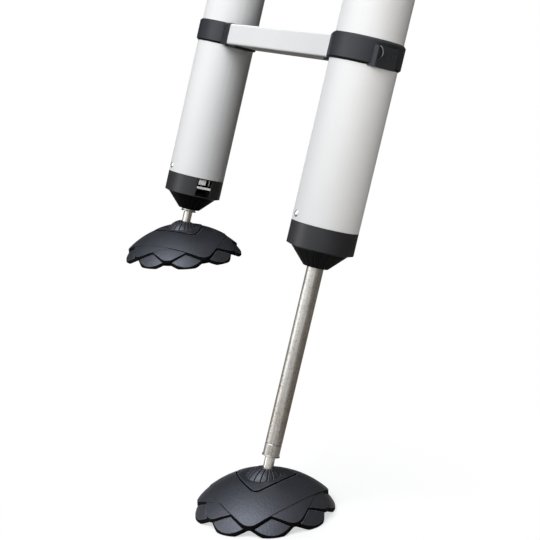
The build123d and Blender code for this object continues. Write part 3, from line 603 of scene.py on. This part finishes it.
world = bpy.data.worlds.new("studio")
bpy.context.scene.world = world
world.use_nodes = True
sky = world.node_tree
sky.nodes.clear()
glow = looks(sky) * (1.0 - AMBIENT) + AMBIENT
backdrop = Wire.node(sky, "Background", {}, {"Color": (*WHITE, 1.0), "Strength": glow})
sky.links.new(backdrop.socket, sky.nodes.new("ShaderNodeOutputWorld").inputs["Surface"])
print("world", world.name, "ambient", AMBIENT)

# %% [markdown]
# ## Floor
# Round the right pad the floor is a plain pale surface that keeps the pad's shadow, and further out it
# fades into the white. It throws little light back up, because white paper under the whole ladder would
# fill the shaded sides of the pads.

# %% Floor
FLOOR_LEVEL = -0.0005
FLOOR_OUTLINE = [(-3.0, -3.0), (3.0, -3.0), (3.0, 3.0), (-3.0, 3.0)]
SHADOW_FULL, SHADOW_GONE = 0.08, 0.30  # from the middle of the right pad
PALE_LOW, PALE_HIGH = (0.45, 0.45, 0.45), (0.46, 0.46, 0.46)
BOUNCE = (0.07, 0.066, 0.06)
FLOOR_GLOW = 0.61  # share of the white that the floor gives off by itself where it keeps the shadow


def flat(outline, level):
    """Corners of a level panel from its outline."""
    return [(x, y, level) for x, y in outline]


def card(name, corners, material, to_camera):
    """Flat staged panel from its corners; one that the camera doesn't see throws no shadow either."""
    mesh = bpy.data.meshes.new(name)
    mesh.from_pydata(corners, [], [tuple(range(len(corners)))])
    mesh.materials.append(material)
    panel = added(name, mesh)
    panel.visible_camera = to_camera
    panel.visible_shadow = to_camera
    panel.visible_diffuse = to_camera


floor_white, floor_tree, floor_shader, floor_place = finish(
    "floor_white", Roughness=0.95, Specular_IOR_Level=0.0, Emission_Strength=1.0)
look = looks(floor_tree)
distance = Wire.node(floor_tree, "VectorMath", {"operation": "LENGTH"}, {0: floor_place}, "Value")
away = ramp(floor_tree, distance, SHADOW_FULL, SHADOW_GONE)
pale = mixed(floor_tree, noise(floor_tree, floor_place, scale=3.0), PALE_LOW, PALE_HIGH)
lit = look * (away * (1.0 - FLOOR_GLOW) + FLOOR_GLOW)
join(floor_tree, floor_shader,
     Base_Color=mixed(floor_tree, look * away, mixed(floor_tree, look, BOUNCE, pale), (0.0, 0.0, 0.0)),
     Emission_Color=Wire.node(floor_tree, "CombineColor", {}, {"Red": lit, "Green": lit, "Blue": lit}))
card("floor", flat(FLOOR_OUTLINE, FLOOR_LEVEL), floor_white, to_camera=True)
print("floor", floor_white.name, "shadow fades out at", SHADOW_GONE, "m")

# %% [markdown]
# ## Lamps
# The tubes in the photograph are brightest left of their middle and fall off to the right, so a large
# soft box hangs high on the camera's left, far enough off to light the tubes evenly from top to bottom.
# Two small ones fill the right stile's shaded side and the left stile's front, and one behind keeps the
# back readable. A strip far to the left only shows in reflections, as the bright line down the leg.

# %% Lamps
DAYLIGHT = (0.965, 0.98, 1.0)
WARM = (1.0, 0.975, 0.94)
NARROW = math.radians(60)


def soft_box(name, place, aim, width, height, power, colour=WHITE, spread=math.pi, unseen_by=()):
    """Rectangular area lamp at a place, facing a point, and left out by some kinds of ray."""
    lamp = bpy.data.lights.new(name, "AREA")
    lamp.shape = "RECTANGLE"
    lamp.color = colour
    lamp.size, lamp.size_y, lamp.energy, lamp.spread = width, height, power, spread
    holder = added(name, lamp)
    back_axis = np.array(place) - np.array(aim)
    back_axis /= np.linalg.norm(back_axis)
    side_axis = np.cross((0.0, 0.0, 1.0), back_axis)
    side_axis /= np.linalg.norm(side_axis)
    holder.matrix_world = placed(place, (side_axis, np.cross(back_axis, side_axis), back_axis))
    for kind in unseen_by:
        setattr(holder, f"visible_{kind}", False)


soft_box("key_lamp", place=(0.47, -1.32, 2.574), aim=(-0.15, 0.1, 0.35), width=2.56, height=1.92, power=89.0,
         colour=DAYLIGHT)
soft_box("fill_lamp", place=(0.44, 0.14, 0.50), aim=(0.0, 0.13, 0.48), width=0.08, height=0.7, power=0.21,
         colour=WARM, spread=NARROW, unseen_by=["glossy"])
soft_box("rear_lamp", place=(-1.85, 0.42, 1.20), aim=(-0.2, 0.1, 0.35), width=1.2, height=1.0, power=15.0,
         unseen_by=["glossy"])
soft_box("strip_lamp", place=(-0.40, -1.15, 0.45), aim=(-0.05, 0.0, 0.25), width=0.45, height=0.9, power=4.4,
         unseen_by=["diffuse"])
soft_box("left_fill_lamp", place=(0.043, -0.264, 0.56), aim=(-0.41, 0.13, 0.47), width=0.10, height=0.5,
         power=0.09, spread=NARROW, unseen_by=["glossy", "camera"])
print("lamps", [(lamp.name, round(lamp.energy, 2)) for lamp in bpy.data.lights])

# %% [markdown]
# ## Flags
# Steel and black plastic need something dark to reflect, or they turn grey in a white room. A
# photographer stands cards, called flags, just outside the picture, and so does this scene. Only their
# reflections show: a tan one browns the leg's shaded side, a black one behind draws dark edges, and a
# pale one lifts the left.

# %% Flags
FLAG_LEVEL = 0.001  # flags that lie on the floor
NEAR_HEIGHT, FAR_HEIGHT = 1.8, 2.4
RIGHT_CORNER, BACK_CORNER = (2.2, 0.80), (-1.75, -0.60)  # where two upright flags meet


def flag_cloth(name, low, high):
    """Dull cloth, mottled between two colours."""
    material, tree, shader, place = finish(name, Roughness=0.95, Specular_IOR_Level=0.0)
    join(tree, shader, Base_Color=mixed(tree, noise(tree, place, scale=40.0), low, high))
    return material


def upright(start, end, height):
    """Corners of an upright panel that stands on the floor from one point to another."""
    return [(*start, 0.0), (*end, 0.0), (*end, height), (*start, height)]


flag_tan = flag_cloth("flag_tan", (0.325, 0.290, 0.245), (0.365, 0.330, 0.285))
flag_pale = flag_cloth("flag_pale", (0.64, 0.64, 0.64), (0.68, 0.68, 0.68))
flag_black = flag_cloth("flag_black", (0.02, 0.02, 0.02), (0.03, 0.03, 0.03))
RIGHT_OUTLINE = [(0.30, 0.02), (0.09, 0.09), (-0.06, 0.12), (-0.9, 0.30),
                 (-0.9, 1.2), (2.2, 1.2), (2.2, 0.02)]
LEFT_OUTLINE = [(-0.16, -0.05), (-0.10, -0.16), (-0.30, -0.45), (-1.4, -0.45), (-1.4, 0.30), (-0.5, 0.10)]
flags = {
    "right_flag": (upright((-0.52, 0.80), RIGHT_CORNER, NEAR_HEIGHT), flag_tan),
    "floor_flag": (flat(RIGHT_OUTLINE, FLAG_LEVEL), flag_tan),
    "left_floor_flag": (flat(LEFT_OUTLINE, FLAG_LEVEL), flag_tan),
    "back_flag": (upright(BACK_CORNER, (-0.75, 1.60), FAR_HEIGHT), flag_black),
    "left_back_flag": (upright(BACK_CORNER, (-0.90, -1.35), FAR_HEIGHT), flag_pale),
    "camera_flag": (upright((2.2, -0.35), RIGHT_CORNER, NEAR_HEIGHT), flag_tan),
}
for name, (corners, cloth) in flags.items():
    card(name, corners, cloth, to_camera=False)
print("flags", list(flags))
